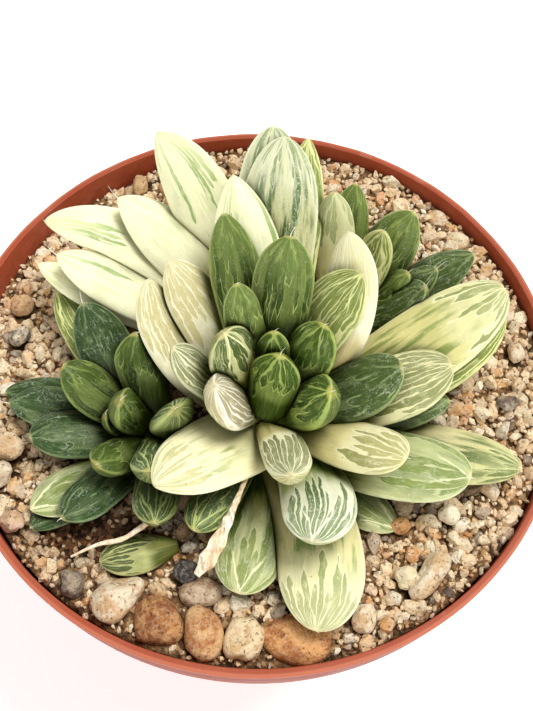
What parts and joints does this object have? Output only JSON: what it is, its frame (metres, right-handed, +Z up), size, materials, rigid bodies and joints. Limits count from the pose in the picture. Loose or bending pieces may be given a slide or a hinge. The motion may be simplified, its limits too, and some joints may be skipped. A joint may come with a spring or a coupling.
{
  "type": "potted haworthia",
  "caption": "Haworthia in a round tapered plastic pot: thick windowed leaves, green and cream, in rosettes over pumice grit. Stands on a sill, shelf or table.",
  "frame": {"origin": "centre of the pot's foot, on the surface that the pot stands on", "axes": "+Z up along the pot's axis, -Y towards the viewer, +X to the viewer's right"},
  "size_m": [0.11, 0.11, 0.1103],
  "materials": {
    "pot_plastic": "satin",
    "potting_mix": "matte",
    "grit": "matte",
    "stem": "satin",
    "leaf_green": "gloss",
    "leaf_cream": "gloss",
    "dried_leaf": "matte",
    "stone": "satin"
  },
  "bodies": {
    "root": {"pot": "pot_plastic", "potting_mix": "potting_mix", "grit_bed": "grit", "stem_main": "stem", "stem_left": "stem", "stem_back": "stem", "dried_leaf": "dried_leaf", "dry_stalk": "dried_leaf", "stone_whitish": "stone", "stone_brown": "stone", "stone_tan": "stone", "stone_cream": "stone", "stone_flat": "stone", "stone_grey": "stone", "leaf_34": "leaf_green", "leaf_28": "leaf_cream", "leaf_30": "leaf_green", "leaf_36": "leaf_green", "leaf_37": "leaf_green", "leaf_27": "leaf_green", "leaf_32": "leaf_green", "leaf_29": "leaf_cream", "leaf_33": "leaf_green", "leaf_10": "leaf_green", "leaf_02": "leaf_cream", "leaf_16": "leaf_green", "leaf_19": "leaf_cream", "leaf_09": "leaf_cream", "leaf_59": "leaf_cream", "leaf_58": "leaf_cream", "leaf_26": "leaf_cream", "leaf_03": "leaf_green", "leaf_17": "leaf_cream", "leaf_14": "leaf_cream", "leaf_23": "leaf_cream", "leaf_20": "leaf_cream", "leaf_63": "leaf_cream", "leaf_15": "leaf_green", "leaf_56": "leaf_green", "leaf_24": "leaf_cream", "leaf_25": "leaf_green", "leaf_21": "leaf_cream", "leaf_39": "leaf_cream", "leaf_40": "leaf_cream", "leaf_01": "leaf_cream", "leaf_38": "leaf_cream", "leaf_50": "leaf_green", "leaf_51": "leaf_green", "leaf_48": "leaf_green", "leaf_44": "leaf_green", "leaf_45": "leaf_green", "leaf_43": "leaf_green", "leaf_47": "leaf_green", "leaf_53": "leaf_green", "leaf_54": "leaf_green", "leaf_46": "leaf_green", "leaf_05": "leaf_green", "leaf_07": "leaf_green", "leaf_11": "leaf_green", "leaf_57": "leaf_green"}
  },
  "joints": []
}
